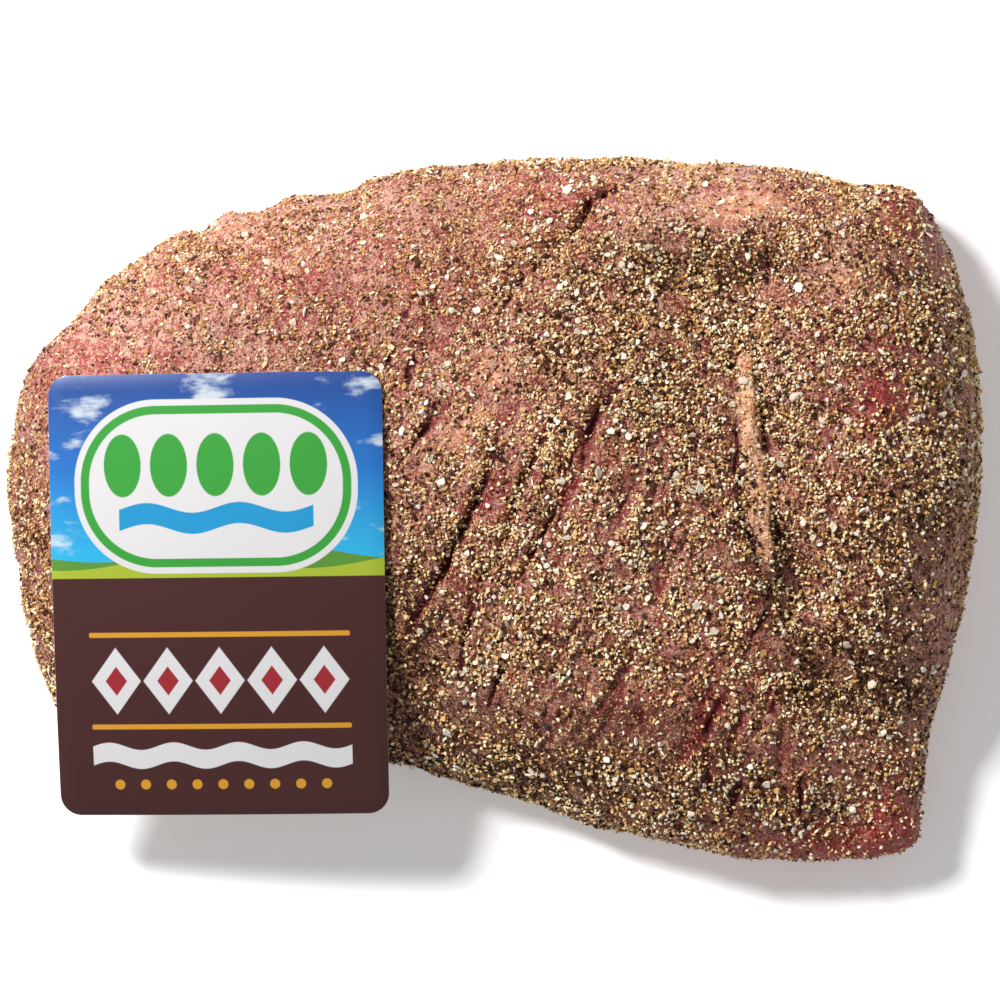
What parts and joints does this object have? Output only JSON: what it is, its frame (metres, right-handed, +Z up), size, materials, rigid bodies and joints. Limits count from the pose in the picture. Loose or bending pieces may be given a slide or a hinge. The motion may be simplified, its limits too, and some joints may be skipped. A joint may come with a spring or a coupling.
{
  "type": "tri-tip roast",
  "caption": "Raw tri-tip roast, an uneven slab of beef rubbed with coarse salt and cracked pepper, lying flat with a plain card label on its narrower end.",
  "frame": {"origin": "middle of the footprint's box, on the surface that the roast rests on", "axes": "+X along the roast's length towards its wider end, +Y towards its straighter long side, +Z up"},
  "size_m": [0.234, 0.17, 0.0487],
  "materials": {
    "meat": "moist raw meat under coarse salt and cracked pepper",
    "card": "coated printed card"
  },
  "bodies": {
    "root": {"roast": "meat", "label": "card"}
  },
  "joints": []
}
